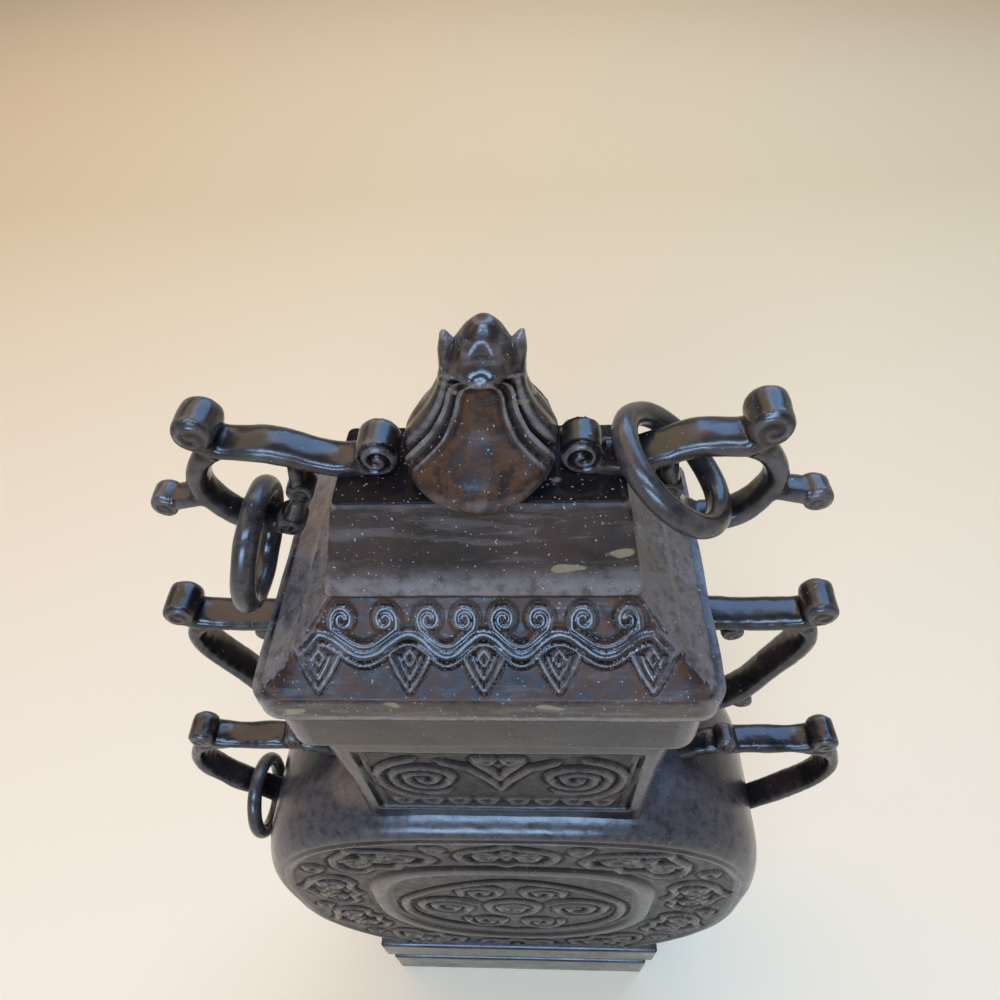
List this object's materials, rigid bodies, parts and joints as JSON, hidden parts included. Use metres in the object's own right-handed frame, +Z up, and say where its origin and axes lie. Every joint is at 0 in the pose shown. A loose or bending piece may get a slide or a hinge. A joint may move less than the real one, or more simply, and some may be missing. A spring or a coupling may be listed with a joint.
{
  "type": "lidded jade vase",
  "caption": "Flat round stone vase on a stepped foot, with a carved hipped lid, bud finial, scroll handles and loose rings.",
  "frame": {"origin": "middle of the foot's underside", "axes": "+Z up through the middle of the vase, +Y towards its plain back, +X to the viewer's right when the carved front is seen"},
  "size_m": [0.2164, 0.0676, 0.3529],
  "materials": {
    "dark_jade": "polished",
    "worn_jade": "polished, worn",
    "ring_jade": "polished"
  },
  "bodies": {
    "root": {"vase": "dark_jade", "lid": "worn_jade", "right_lid_ring": "ring_jade", "left_lid_ring": "ring_jade", "left_shoulder_ring": "ring_jade"}
  },
  "joints": []
}
